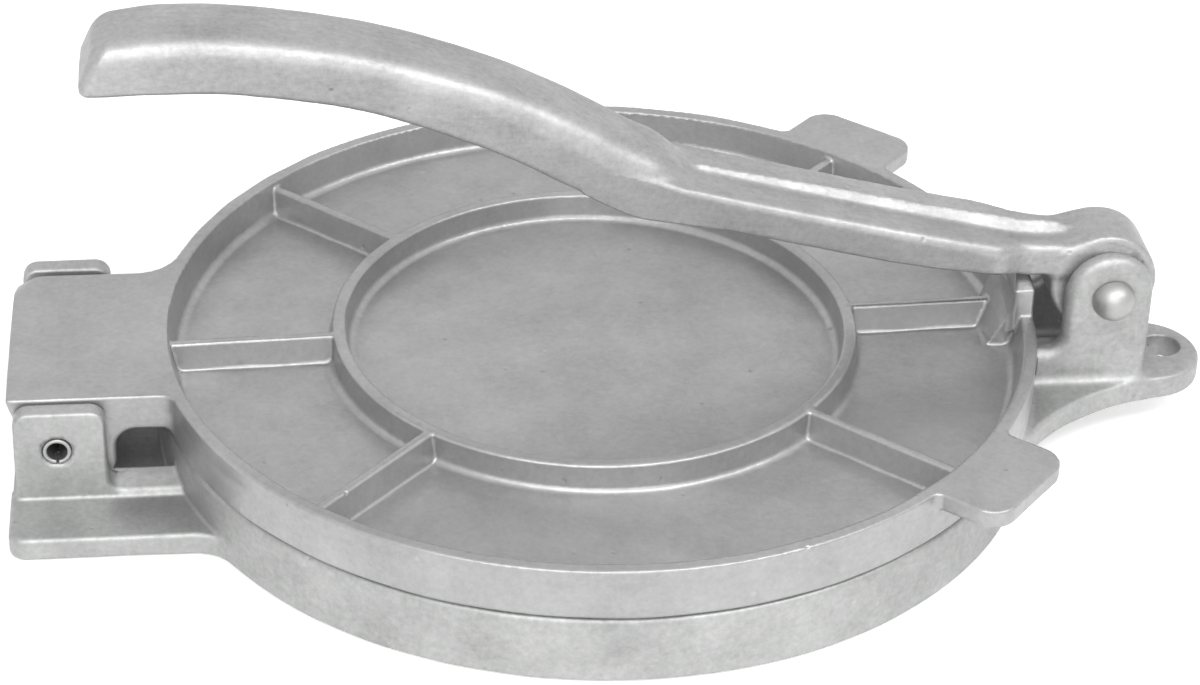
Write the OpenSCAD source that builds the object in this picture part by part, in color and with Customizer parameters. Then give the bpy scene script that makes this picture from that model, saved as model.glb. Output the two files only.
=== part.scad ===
// Cast tortilla press: a base casting, a hinged pressing plate and a long lever.
// The table top is z = 0, the centre of the pressing discs is x = 0, y = 0.
// The plate hinge is at low x and the lever clevis is at high x.

/* [Pressing discs] */
// Outside radius of the pressing plate
plate_r = 102.5; // [92:0.5:120]
// Height of the pressing face above the table
base_h = 16; // [14:0.5:22]
// Thickness of the pressing plate at its rim
plate_h = 13; // [12:0.5:18]
// Gap left between the two pressing faces
face_gap = 0.12; // [0.05:0.01:0.3]
// Depth from the rim top down to the floor of the plate
recess_d = 8.3; // [7.5:0.1:9]
// Width of the plate rim at its top
rim_w = 3; // [2:0.1:8]
// Chamfer on both edges at the parting line
seam_c = 1.6; // [0.5:0.1:3]
// Fillet radius where walls meet the plate floor
floor_fillet = 2; // [0.5:0.25:3]
// Thickness of the base disc over its hollow underside
skin_t = 5.5; // [4:0.5:7]
// Wall thickness of the base skirt at the table
skirt_t = 4.2; // [3:0.1:6]
// Radius of the centre boss under the base
boss_r = 10; // [6:0.5:14]
// Radius of the ring under the base, at its middle
under_ring_r = 56; // [40:1:70]
// Thickness of the ring and ribs under the base
under_t = 3.5; // [2.5:0.1:5]

/* [Ring and ribs] */
// Outside radius of the stiffening ring
ring_r = 61.1; // [45:0.1:72]
// Thickness of the stiffening ring
ring_w = 3; // [2:0.1:6]
// Height of the ring and ribs over the plate floor
rib_h = 6.7; // [4:0.1:7.2]
// Width of a rib along its top
rib_top = 2.2; // [1.5:0.1:3.5]
// Width of a rib at the floor
rib_foot = 3.8; // [3.6:0.1:8]
// Turn of the rib pattern about the disc centre in degrees
rib_turn = 2.2; // [-5:0.1:5]

/* [Finger tabs] */
// Length of a tab beyond the plate edge
tab_out = 14.8; // [8:0.1:24]
// Width of a tab
tab_w = 29.5; // [16:0.5:40]
// Thickness of a tab
tab_t = 4.6; // [3:0.1:8]
// Corner radius of a tab
tab_corner = 6; // [2:0.5:7]
// Angle of each tab either side of the pattern line in degrees
tab_angle = 44.3; // [34:0.1:58]
// Turn of the pair of tabs about the disc centre in degrees
tab_turn = 2.9; // [-5:0.1:5]

/* [Plate hinge] */
// Distance from the plate edge to the hinge pin
hinge_out = 22; // [20:0.5:32]
// Height of the hinge pin above the pressing face
hinge_up = 2; // [1:0.1:4]
// Outside radius of the hollow spring pins
pin_r = 3.25; // [2.5:0.05:4]
// Wall thickness of the spring pins
pin_wall = 0.95; // [0.6:0.05:1.4]
// Length of each spring pin
pin_l = 20; // [14:0.5:26]
// Distance between the outer faces of the hinge ears
ear_span = 68; // [56:0.5:84]
// Thickness of a hinge ear
ear_t = 4.9; // [3.5:0.1:8]
// Step from the plate rim down to the top of the hinge ears
ear_drop = 0.7; // [0.5:0.1:4]
// Half the length of a hinge ear along x
ear_half = 10.4; // [8:0.1:11]
// Distance from the hinge pin to the back of the hinge block
block_back = 11.7; // [10:0.1:13]
// Distance from the hinge pin to the front of the hinge block, under its arm
block_front = 13; // [10:0.1:14]
// Distance from the hinge pin to the back edge of the foot flange
foot_back = 11.2; // [10.5:0.1:16]
// Reach of the foot flange beyond each hinge ear
foot_side_w = 16; // [10:0.5:24]
// Thickness of the foot flange
foot_t = 5.5; // [4:0.1:7]
// Thickness of the web between the hinge ears
web_t = 2.8; // [2:0.1:4]
// Height of the curb between a hinge ear and the disc, over the foot
curb_up = 3; // [1:0.1:3.5]
// Reach of the curb inside the hinge ear
curb_in = 4; // [2:0.5:6]
// Side gap between the hinge block and the near ear
block_gap = 0.3; // [0.1:0.05:0.8]
// Side gap between the hinge block and the far ear
block_short = 3.5; // [0.2:0.1:5]
// Running clearance of the hinge and lever bores
run_fit = 0.05; // [0.02:0.01:0.1]

/* [Lever clevis] */
// Distance from the plate edge to the lever rivet
pivot_out = 16.7; // [16.2:0.1:21]
// Height of the lever rivet above the plate rim
pivot_up = 6.8; // [6:0.1:11]
// Distance between the outer faces of the clevis ears
clevis_span = 26.3; // [24:0.1:32]
// Thickness of a clevis ear
clevis_t = 5.15; // [3.5:0.05:6]
// Radius of the rounded top of a clevis ear
clevis_r = 10.2; // [8:0.1:11]
// Extra thickness of each clevis ear on its inner side, at its foot
clevis_foot = 3; // [1:0.1:5]
// Radius of the rivet shank
rivet_r = 3.2; // [2.5:0.05:3.8]
// Radius of a domed rivet head
head_r = 5; // [4.2:0.1:6]
// Height of a domed rivet head
head_h = 4.9; // [1.5:0.1:5]
// Distance from the lever rivet to the end of the hanging tongue
tongue_out = 25.6; // [23.3:0.1:40]
// Thickness of the hanging tongue
tongue_t = 6; // [4:0.1:8]
// Radius of the sweep from the disc into the tongue
tongue_sweep = 57; // [20:1:80]
// Radius of the hole in the hanging tongue
hang_r = 4.5; // [2:0.1:5]
// Metal left between the hole and the end of the tongue
hang_edge = 3.8; // [2:0.1:5]
// Distance from the middle line to the hanging hole, to the far side
hang_side = 1.6; // [0:0.1:3]

/* [Lever] */
// Half the width of the lever
lever_half = 11.3; // [10:0.1:14]
// Radius of the lever hub
hub_r = 12.4; // [11.5:0.1:13]
// Distance of the hub centre from the rivet toward the handle
hub_back = 1.2; // [0:0.1:1.5]
// Height of the hub centre over the rivet
hub_up = 1; // [0:0.1:1.5]
// Side gap between the lever hub and each clevis ear
hub_gap = 0.3; // [0.1:0.05:0.6]
// Corner radius along the top of the handle
grip_round = 5; // [2:0.25:6]
// Height of the rib along the top of the lever arm
arm_rib = 2.7; // [1:0.1:4]
// Distance from the hub centre to the end of the handle
handle_l = 234.5; // [200:0.5:280]
// Height of the top of the handle over the hub centre
handle_up = 71.7; // [62:0.1:90]
// Gap between the pressing lug and the closed lever
lug_gap = 0.15; // [0.05:0.05:0.3]
// Length of the pressing lug along x
lug_l = 5; // [4:0.1:6]

/* [Hidden] */
$fn = 96;
// Small overlap and overcut used in cuts
e = 0.01;
cut = 1;
// Taper left on the upright faces of a casting
draft = 0.3;

// Discs
base_r = plate_r - 0.2;
base_top_r = base_r - draft;
inside_r = base_r - 2;
rim_z = base_h + plate_h;
plate_z0 = base_h + face_gap;
floor_z = rim_z - recess_d;
ring_z = floor_z + rib_h;
rib_z = ring_z - 0.15;
rim_in = plate_r - rim_w;
flat_z = rim_z - 0.2;
wall_slope = 1.9;
ring_slope = 0.5;
under_z = 1;

// Plate hinge
hinge_x = -(plate_r + hinge_out);
hinge_z = base_h + hinge_up;
ear_in = ear_span / 2 - ear_t;
ear_mid = hinge_x + 0.7;
ear_round = 3.6;
block_near = ear_in - block_gap;
block_far = ear_in - block_short;
block_x0 = hinge_x - block_back;
block_x1 = hinge_x + block_front;
block_drop = 10;
block_lean = 5;
block_c = 2;
arm_z0 = base_h + 4;
arm_fillet = 3;
foot_half = ear_span / 2 + foot_side_w;
curb_x0 = block_x1 - 1;
foot_x0 = hinge_x - foot_back;
foot_corner = 4;
foot_f = 6;
foot_cy = foot_half + foot_f;
foot_cx = -sqrt(pow(base_r + foot_f, 2) - pow(foot_cy, 2));
pin_inset = 0.3;
pin_bore_l = pin_l - ear_t + 2.5;

// Lever clevis and tongue
pivot_x = plate_r + pivot_out;
pivot_z = rim_z + pivot_up;
clevis_in = clevis_span / 2 - clevis_t;
clevis_cx = pivot_x - 0.5;
clevis_top = pivot_z + 0.5;
clevis_x0 = clevis_cx - clevis_r;
step_near_z = base_h + 5.7;
step_far_z = base_h + 12.5;
step_fillet = 4.2;
clear_r = plate_r + 0.9;
tongue_half = clevis_span / 2 - 0.25;
tongue_z1 = base_h - 2.5;
tongue_z0 = tongue_z1 - tongue_t;
tongue_cx = pivot_x + tongue_out - tongue_half;
hole_x = pivot_x + tongue_out - hang_edge - hang_r;
far_r = base_top_r + tongue_sweep;
near_r = tongue_half + tongue_sweep;
sweep_x = (pow(far_r, 2) - pow(near_r, 2) + pow(tongue_cx, 2)) / (2 * tongue_cx);
sweep_y = sqrt(pow(far_r, 2) - pow(sweep_x, 2));

// Lever and pressing lug
hub_x = pivot_x - hub_back;
hub_z = pivot_z + hub_up;
hub_half = clevis_in - hub_gap;
seat_z = 2.7;
neck_x0 = -24;
neck_x1 = -18;
neck_far = 7;
lug_x1 = plate_r - 0.3;
lug_x0 = lug_x1 - lug_l;
lug_top = hub_z + seat_z - lug_gap;
lug_half = lever_half - 3;
lug_crown = lug_half - 3.1;
lug_shoulder = rim_z + 7;
gusset_half = lug_half - 1.3;

// Raises a shape drawn in x and z into a slab between y0 and y1.
module slab(y0, y1) {
    translate([0, y1, 0]) rotate([90, 0, 0]) linear_extrude(y1 - y0) children();
}

// Keeps what lies outside a cylinder about the disc axis, above z0.
module outside(r, z0) {
    difference() {
        children();
        translate([0, 0, z0]) cylinder(r = r, h = 2 * pivot_z);
    }
}

// Flat rectangle about the origin with rounded corners.
module round_rect(a, b, r) {
    square([a - 2 * r, b], center = true);
    square([a, b - 2 * r], center = true);
    for (i = [-1, 1], j = [-1, 1]) translate([i * (a / 2 - r), j * (b / 2 - r)]) circle(r);
}

// Section of a fillet in an inside corner at the origin; side is where the open space lies.
module fillet_corner(r, side) {
    difference() {
        translate([side > 0 ? -e : -r, -e]) square([r + e, r + e]);
        translate([side * r, r]) circle(r);
    }
}

// Hollow underside of the base disc, with its centre boss, ring and ribs left standing.
module base_hollow() {
    difference() {
        translate([0, 0, -cut])
            cylinder(r1 = base_r - skirt_t, r2 = base_r - skirt_t - 1, h = base_h - skin_t + cut);
        translate([0, 0, -2 * cut]) cylinder(r = boss_r, h = base_h);
        translate([0, 0, under_z]) difference() {
            cylinder(r = under_ring_r + under_t / 2, h = base_h);
            translate([0, 0, -cut]) cylinder(r = under_ring_r - under_t / 2, h = base_h + 2 * cut);
        }
        for (a = [0 : 45 : 315]) rotate(a)
            translate([0, -under_t / 2, under_z]) cube([base_r - 2, under_t, base_h]);
    }
}

// Base disc with its chamfered top edge.
module base_disc() {
    difference() {
        rotate_extrude() polygon([[0, 0], [base_r, 0], [base_top_r, base_h - seam_c],
            [base_top_r - seam_c, base_h], [0, base_h]]);
        base_hollow();
    }
}

// Plan of the foot flange on the side of positive y, swept into the round disc.
module foot_side() {
    k = inside_r / (base_r + foot_f);
    difference() {
        union() {
            translate([foot_x0 + foot_corner, 0]) square([foot_cx - foot_x0 - foot_corner, foot_half]);
            translate([foot_x0, 0]) square([2 * foot_corner, foot_half - foot_corner]);
            translate([foot_x0 + foot_corner, foot_half - foot_corner]) circle(foot_corner);
            polygon([[foot_cx, 0], [foot_cx, foot_cy], [foot_cx * k, foot_cy * k], [foot_cx * k, 0]]);
        }
        translate([foot_cx, foot_cy]) circle(foot_f);
    }
}

// Foot flange, thinner between the hinge ears where the hinge block swings.
module foot() {
    outside(inside_r, -cut) difference() {
        linear_extrude(foot_t) union() {
            foot_side();
            mirror([0, 1]) foot_side();
        }
        translate([2 * hinge_x, -ear_in, web_t]) cube([-2 * hinge_x, 2 * ear_in, foot_t]);
    }
}

// Side view of a hinge ear with two rounded upper corners.
module hinge_ear_shape() {
    h = rim_z - ear_drop;
    translate([ear_mid - ear_half, 0]) square([2 * ear_half, h - ear_round]);
    translate([ear_mid - ear_half + ear_round, 0]) square([2 * (ear_half - ear_round), h]);
    for (s = [-1, 1]) translate([ear_mid + s * (ear_half - ear_round), h - ear_round]) circle(ear_round);
}

// One hinge ear on the side of positive y, with the curb that runs from it to the disc.
module hinge_ear() {
    curb_z = foot_t + curb_up;
    slab(ear_in, ear_span / 2) hinge_ear_shape();
    outside(inside_r, -cut) {
        translate([hinge_x, ear_in + e, 0]) cube([-hinge_x / 2, ear_t - 2 * e, curb_z]);
        translate([curb_x0, ear_in - curb_in, 0]) cube([-hinge_x / 2, curb_in + 1, curb_z - e]);
    }
}

// Plan of the hanging tongue, swept out of the round disc into its round end.
module tongue_plan() {
    translate([tongue_cx, 0]) circle(tongue_half);
    for (s = [-1, 1]) scale([1, s]) difference() {
        polygon([[0, 0], [tongue_cx, 0],
            [tongue_cx + (sweep_x - tongue_cx) * tongue_half / near_r, sweep_y * tongue_half / near_r],
            [sweep_x, sweep_y], [sweep_x * inside_r / far_r, sweep_y * inside_r / far_r]]);
        translate([sweep_x, sweep_y]) circle(tongue_sweep);
    }
}

// Side view of one clevis ear, its step toward the disc and the fillet between them.
module clevis_shape(step_z) {
    z0 = tongue_z0 + 1;
    translate([clevis_cx, clevis_top]) circle(clevis_r);
    translate([clevis_x0, z0]) square([2 * clevis_r, clevis_top - z0]);
    translate([inside_r - cut, z0]) square([clevis_x0 - inside_r + 2 * cut, step_z - z0]);
    translate([clevis_x0, step_z]) fillet_corner(step_fillet, -1);
}

// Both clevis ears, cut back clear of the pressing plate; the far one has the higher step.
module clevis() {
    outside(clear_r, base_h - seam_c) outside(inside_r, -cut) {
        slab(-clevis_span / 2, -clevis_in) clevis_shape(step_near_z);
        slab(clevis_in, clevis_span / 2) clevis_shape(step_far_z);
        for (s = [-1, 1]) scale([1, s, 1])
            translate([inside_r - cut, clevis_in - clevis_foot, tongue_z1 - 1])
                cube([clevis_cx - inside_r, clevis_foot + 1, step_near_z - tongue_z1 + 0.5]);
    }
}

// Lower casting: disc, hinge foot and ears, clevis ears and hanging tongue.
module base_casting() {
    color([0.66, 0.67, 0.67]) difference() {
        union() {
            base_disc();
            foot();
            for (s = [-1, 1]) scale([1, s, 1]) hinge_ear();
            outside(inside_r, -cut) translate([0, 0, tongue_z0]) linear_extrude(tongue_t) tongue_plan();
            clevis();
        }
        translate([hole_x, hang_side, tongue_z0 - cut]) cylinder(r = hang_r, h = tongue_t + 2 * cut);
        translate([pivot_x, -clevis_span / 2 - cut, pivot_z]) rotate([-90, 0, 0])
            cylinder(r = rivet_r, h = clevis_span + 2 * cut);
        translate([hinge_x, -ear_span / 2 - cut, hinge_z]) rotate([-90, 0, 0])
            cylinder(r = pin_r, h = ear_span + 2 * cut);
        for (s = [-1, 1]) scale([1, s, 1]) translate([hinge_x, ear_span / 2 - 0.9, hinge_z])
            rotate([-90, 0, 0]) cylinder(r1 = pin_r - 0.1, r2 = pin_r + 1.1, h = 1.2);
    }
}

// Section of the turned parts of the plate: rim, floor and ring.
module plate_section() {
    ring_in = ring_r - ring_w;
    difference() {
        polygon([[0, plate_z0], [plate_r - seam_c - 0.9, plate_z0], [plate_r, plate_z0 + seam_c],
            [plate_r, rim_z - 0.6], [plate_r - 0.6, rim_z], [0, rim_z]]);
        polygon([[ring_r + ring_slope, floor_z], [rim_in - wall_slope, floor_z],
            [rim_in, rim_z + e], [ring_r, rim_z + e]]);
        polygon([[-cut, floor_z], [ring_in - ring_slope, floor_z], [ring_in, rim_z + e], [-cut, rim_z + e]]);
        translate([ring_in - cut, ring_z]) square([ring_w + 2 * cut, recess_d]);
    }
    translate([rim_in - wall_slope, floor_z]) fillet_corner(floor_fillet, -1);
    translate([ring_r + ring_slope, floor_z]) fillet_corner(floor_fillet, 1);
    translate([ring_in - ring_slope, floor_z]) fillet_corner(floor_fillet, -1);
}

// One rib along x, from the ring to the rim.
module plate_rib() {
    translate([ring_r - 1.2, 0, 0]) rotate([90, 0, 90]) linear_extrude(rim_in - ring_r + 1.4)
        polygon([[-rib_foot / 2, floor_z - 1], [rib_foot / 2, floor_z - 1],
            [rib_top / 2, rib_z], [-rib_top / 2, rib_z]]);
}

// Finger tab along x, all but level with the rim top.
module finger_tab() {
    root = 2 * tab_corner + 8;
    translate([plate_r + (tab_out - root) / 2, 0, flat_z - tab_t]) linear_extrude(tab_t)
        round_rect(tab_out + root, tab_w, tab_corner);
}

// Side view of the hinge block and the arm that joins it to the plate.
module block_shape() {
    z0 = hinge_z - block_drop;
    difference() {
        polygon([[block_x0 + block_lean, hinge_z], [block_x0 + block_lean + 4, z0],
            [block_x1 - 3, z0], [block_x1, z0 + 3],
            [block_x1, arm_z0 - arm_fillet], [block_x1 + arm_fillet, arm_z0],
            [-plate_r / 2, arm_z0], [-plate_r / 2, flat_z],
            [block_x0 + block_c, flat_z], [block_x0, flat_z - block_c]]);
        translate([block_x1 + arm_fillet, arm_z0 - arm_fillet]) circle(arm_fillet);
    }
}

// Pressing lug at the rim, with the gusset that slopes down to the plate floor.
module lug() {
    neck_z = rim_z + 2.5;
    slab(-gusset_half, gusset_half) polygon([[lug_x0 - 5.6, floor_z - 1], [lug_x0 - 5.4, floor_z],
        [lug_x0 - 0.8, rim_z - 0.8], [lug_x0 + 1, neck_z], [lug_x1, neck_z], [lug_x1, floor_z - 1]]);
    translate([lug_x0, -lug_half, rim_z - 2]) cube([lug_l, 2 * lug_half, lug_shoulder - rim_z + 2]);
    translate([lug_x0 + 0.7, 0, 0]) rotate([90, 0, 90]) linear_extrude(lug_l - 1.4)
        polygon([[-lug_half, lug_shoulder - e], [lug_half, lug_shoulder - e],
            [lug_crown, lug_top], [-lug_crown, lug_top]]);
}

// Upper casting: pressing plate with ribs, tabs, hinge block and pressing lug.
module top_plate() {
    color([0.68, 0.69, 0.69]) difference() {
        union() {
            rotate_extrude() plate_section();
            for (a = [0, 45, 135, 180, 225, 315]) rotate(a + rib_turn) plate_rib();
            outside(plate_r - cut, base_h) for (s = [-1, 1]) rotate(s * tab_angle + tab_turn) finger_tab();
            outside(plate_r - cut, base_h) slab(-block_near, block_far) block_shape();
            lug();
        }
        for (s = [-1, 1]) scale([1, s, 1]) translate([hinge_x, ear_in + cut, hinge_z]) rotate([90, 0, 0])
            cylinder(r = pin_r + run_fit, h = pin_bore_l);
    }
}

// Control stations of the lever, measured from the hub centre: distance, underside, shoulder,
// share of the width, corner radius, crest height and crest width share.
stations = [
    [-234.5, 59.3, 66.4, 0.9, 3, 0.2, 0.5],
    [-232.9, 58.2, 69.2, 0.985, 4.4, 0.5, 0.5],
    [-228.5, 58.2, 70.3, 1, 5, 0.7, 0.5],
    [-215.5, 58.6, 71.7, 1, 5, 0.7, 0.5],
    [-197.8, 57.9, 70.9, 1, 5, 0.7, 0.5],
    [-171.2, 52.9, 66.3, 1, 5, 0.7, 0.5],
    [-144.3, 42.5, 57.5, 1, 5, 0.7, 0.5],
    [-126.1, 32.6, 48.2, 1, 4.9, 0.9, 0.5],
    [-111.5, 24.7, 38, 1, 3.4, 2.6, 0.38],
    [-97, 21.3, 30.4, 1, 1.2, 2.7, 0.25],
    [-72.5, 15, 23.9, 1, 1, 2, 0.22],
    [-49.5, 9.2, 18, 1, 1, 2.4, 0.22],
    [neck_x0, 4.5, 12.1, 1, 1, 2.8, 0.22],
    [neck_x1, seat_z, 11.4, 1, 1, 2.6, 0.22],
    [-10, seat_z, 10.9, 1, 1, 1.8, 0.22],
    [-4, seat_z, 10.2, 1, 1, 0.9, 0.22]
];
// Highest shoulder of the drawn curve
drawn_up = max([for (s = stations) s[2]]);
// Steps between two control stations
steps = 3;

// Value of a smooth curve between b and c, with a and d as its neighbours.
function curve(a, b, c, d, t) = b + (c - a) * t / 2 + (2 * a - 5 * b + 4 * c - d) * t * t / 2
    + (3 * b - 3 * c + d - a) * t * t * t / 2;

// Station number u of the smoothed row, in steps.
function station(u) = let (last = len(stations) - 1, i = min(floor(u / steps), last - 1), t = u / steps - i)
    curve(stations[max(i - 1, 0)], stations[i], stations[i + 1], stations[min(i + 2, last)], t);

// Rises smoothly from 0 to 1 as t goes from 0 to 1.
function ease(t) = let (u = min(max(t, 0), 1)) u * u * (3 - 2 * u);

// Moves the handle part of the lever in or out without touching the part near the clevis.
function reach(x) = x > neck_x0 ? x
    : neck_x0 + (x - neck_x0) * (handle_l + neck_x0) / (neck_x0 - stations[0][0]);

// Scale of the heights at a distance: 1 near the clevis, then on to the height of the handle.
function height(x) = 1 + (handle_up / drawn_up - 1) * ease((neck_x0 - x) / lever_half / 6);

// Half width at a distance, narrowed to fit between the clevis ears; the far side narrows later.
function half_w(x, share, side) = lever_half * share
    + (hub_half - lever_half) * ease((x - neck_x0 - side * neck_far) / (neck_x1 - neck_x0));

// Lean of the end face of the handle at a distance.
function lean(x) = 0.45 * min(max((stations[2][0] - x) / 6, 0), 1);

// Half of a section, y positive, from the underside up.
function half_ring(z0, z1, w, r, crest, cw) = [
    [w - 1.1, z0], [w, z0 + 1.1], [w, z1 - r],
    [w - r * (1 - cos(30)), z1 - r * (1 - sin(30))],
    [w - r * (1 - cos(60)), z1 - r * (1 - sin(60))],
    [w - r, z1],
    [w * cw + 0.1, z1 + crest * 0.08], [w * cw - 0.25, z1 + crest * 0.62], [w * cw / 2, z1 + crest * 0.94]
];

// Half section at a station, on the near side (0) or the far side (1).
function half_section(s, side) = let (k = height(s[0]), w = half_w(s[0], s[3], side),
    r = min(s[4] * grip_round / 5, w * 0.45)) [
    for (p = half_ring(s[1] * k, s[2] * k, w, r, s[5] * arm_rib / 2.7, s[6]))
        [reach(s[0]) + lean(s[0]) * (p[1] - s[1] * k), side == 1 ? p[0] : -p[0], p[1]]];

// Full closed section at a station.
function section(s) = let (near = half_section(s, 0)) concat(half_section(s, 1),
    [for (i = [len(near) - 1 : -1 : 0]) near[i]]);

// Lever arm and handle as one skin through the smoothed stations.
module lever_skin() {
    n = steps * (len(stations) - 1) + 1;
    rings = [for (u = [0 : n - 1]) section(station(u))];
    m = len(rings[0]);
    sides = [for (i = [0 : n - 2], k = [0 : m - 1]) each [
        [i * m + k, (i + 1) * m + (k + 1) % m, i * m + (k + 1) % m],
        [i * m + k, (i + 1) * m + k, (i + 1) * m + (k + 1) % m]]];
    handle_end = [for (k = [0 : m - 1]) k];
    hub_end = [for (k = [m - 1 : -1 : 0]) (n - 1) * m + k];
    polyhedron(points = [for (r = rings) each r], faces = concat(sides, [handle_end, hub_end]));
}

// Lever casting with its hub, bored for the rivet.
module lever() {
    color([0.70, 0.71, 0.71]) translate([hub_x, 0, hub_z]) difference() {
        union() {
            lever_skin();
            slab(-hub_half, hub_half) circle(hub_r);
        }
        translate([hub_back, -hub_half - cut, -hub_up]) rotate([-90, 0, 0])
            cylinder(r = rivet_r + run_fit, h = 2 * (hub_half + cut));
    }
}

// Hollow split spring pin lying along y, its outer end at the origin.
module spring_pin() {
    color([0.55, 0.55, 0.56]) difference() {
        rotate([-90, 0, 0]) cylinder(r = pin_r, h = pin_l);
        translate([0, -cut, 0]) rotate([-90, 0, 0]) cylinder(r = pin_r - pin_wall, h = pin_l + 2 * cut);
        translate([-0.4, -cut, -pin_r - cut]) cube([0.8, pin_l + 2 * cut, pin_r]);
    }
}

// Spring pin in the near hinge ear.
module hinge_pin_near() {
    translate([hinge_x, -ear_span / 2 + pin_inset, hinge_z]) spring_pin();
}

// Spring pin in the far hinge ear.
module hinge_pin_far() {
    translate([hinge_x, ear_span / 2 - pin_inset, hinge_z]) rotate([0, 0, 180]) spring_pin();
}

// Rivet through the clevis, headed with a dome on both sides.
module lever_rivet() {
    dome = (head_r * head_r + head_h * head_h) / (2 * head_h);
    half = clevis_span / 2;
    color([0.78, 0.78, 0.78]) translate([pivot_x, 0, pivot_z]) rotate([-90, 0, 0]) union() {
        translate([0, 0, -half]) cylinder(r = rivet_r, h = 2 * half);
        for (s = [0, 180]) rotate([s, 0, 0]) translate([0, 0, half])
            rotate_extrude() intersection() {
                translate([0, head_h - dome]) circle(dome);
                square([2 * head_r, head_h + 1]);
            }
    }
}

base_casting();
top_plate();
lever();
hinge_pin_near();
hinge_pin_far();
lever_rivet();
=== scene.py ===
import math

import bpy
import numpy as np
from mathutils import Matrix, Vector


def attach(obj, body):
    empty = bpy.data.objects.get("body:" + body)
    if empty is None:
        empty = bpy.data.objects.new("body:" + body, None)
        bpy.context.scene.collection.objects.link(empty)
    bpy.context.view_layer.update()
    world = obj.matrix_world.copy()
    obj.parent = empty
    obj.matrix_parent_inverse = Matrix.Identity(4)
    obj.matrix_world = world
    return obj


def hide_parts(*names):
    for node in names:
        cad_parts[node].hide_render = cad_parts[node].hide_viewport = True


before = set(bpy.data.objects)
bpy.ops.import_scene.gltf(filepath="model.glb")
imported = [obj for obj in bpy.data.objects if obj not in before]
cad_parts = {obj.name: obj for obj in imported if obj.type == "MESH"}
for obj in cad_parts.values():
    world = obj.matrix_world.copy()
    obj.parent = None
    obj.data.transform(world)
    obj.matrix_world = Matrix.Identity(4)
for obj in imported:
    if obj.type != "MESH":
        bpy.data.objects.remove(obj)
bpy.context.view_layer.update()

MM = 0.001

# Sizes are in millimetres, in the row frame: table at z = 0, centre of the discs at x = 0, y = 0,
# hinge at -x, lever clevis at +x, camera side at -y. EDGE is the radius of a rounded edge and
# FILLET that of a hollow corner.

# Base disc.
BASE_R = 102.3
BASE_H = 16.0
BASE_DRAFT = 0.02
BASE_TOP_EDGE = 1.3
BASE_FOOT_EDGE = 0.9
# Hollow under the disc, with a boss, a ring and ribs left standing in it.
UNDER_R = 97.6
UNDER_TOP = BASE_H - 5.5
UNDER_EDGE = 1.2
BOSS_R = 10
UNDER_RING_R = 56
UNDER_RIB_HALF = 1.75
UNDER_RIB_Z0 = 1
UNDER_RIB_FILLET = 1.5
BOSS_FILLET = 1

# Top plate: rim, tray floor, ring and ribs.
PLATE_R = 102.5
PLATE_Z0 = BASE_H + 0.12
PLATE_EDGE = 1.9
RIM_Z = BASE_H + 13.0
RIM_IN = PLATE_R - 3.0
RIM_LEAN = 0.23
RIM_TOP_EDGE = 0.6
RIM_IN_EDGE = 0.4
RIM_FILLET = 1.6
GROOVE_DEPTH = 0.22
GROOVE_DROP = 4.6
GROOVE_HALF = 1.5
FLOOR_Z = RIM_Z - 8.3
RING_R = 61.1
RING_W = 3.0
RING_Z = FLOOR_Z + 6.7
RING_DRAFT = 0.08
RING_EDGE = 0.7
RING_FILLET = 1.7
RIB_EIGHTHS = (0, 1, 3, 4, 5, 7)
RIB_TURN = math.radians(2.2)
RIB_HALF = 1.0
RIB_DRAFT = 0.22
RIB_DROP = 0.05
RIB_EDGE = 0.6
RIB_FILLET = 0.6
RIB_INTO_RING = 1

# Finger tabs.
TAB_TURN = math.radians(2.9)
TAB_ANGLE = math.radians(44.3)
TAB_START = 90
TAB_MID = 100
TAB_OUT = 14.8
TAB_W = 29.5
TAB_T = 4.6
TAB_CORNER = 6
TAB_EDGE = 1.3
TAB_FILLET = 1.6

# Hinge pins.
HINGE_X = -124.5
HINGE_Z = 18.0
PIN_R = 3.25
PIN_PLAY = 0.05
PIN_WALL = 0.95
PIN_HALF = 10.0
PIN_SLIT_HALF = 0.2
PIN_SUNK = 0.3
PIN_END_EDGE = 0.4
PIN_WALL_EDGE = 0.25

# Hinge ears of the base.
EAR_SPAN = 68.0
EAR_T = 4.9
EAR_IN = EAR_SPAN / 2 - EAR_T
EAR_TOP = RIM_Z - 0.7
EAR_CX = HINGE_X + 0.7
EAR_HALF_X = 10.4
EAR_SUNK = 8
EAR_CORNER = 3.6
EAR_EDGE = 0.9
EAR_FILLET = 1.0
EAR_MOUTH = 0.9
EAR_MOUTH_MAX = 1.2
EAR_BORE_PAST = 3

# Hinge foot, with a thinner web between the ears, swept into the disc.
FOOT_T = 5.5
FOOT_CX = HINGE_X + 30.8
FOOT_HALF_X = 42
FOOT_HALF_Y = EAR_SPAN / 2 + 16
FOOT_END_X = -66
FOOT_DISC_R = 101.2
FOOT_SWEEP = 6
FOOT_CORNER = 4
FOOT_EDGE = 1.2
FOOT_FILLET = 0.9
WEB_T = 2.8
WEB_END_R = 99
WEB_EDGE = 0.8

# Curb on the foot beside each ear, with a sloped crown.
CURB_X0 = HINGE_X + 8
CURB_X1 = -92
CURB_Y = EAR_IN + 0.2
CURB_Z = FOOT_T + 3.7
CURB_NORMAL = (0.455, 0.89)
CURB_HALF = 3.1
CURB_EAR_FILLET = 3.0

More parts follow.
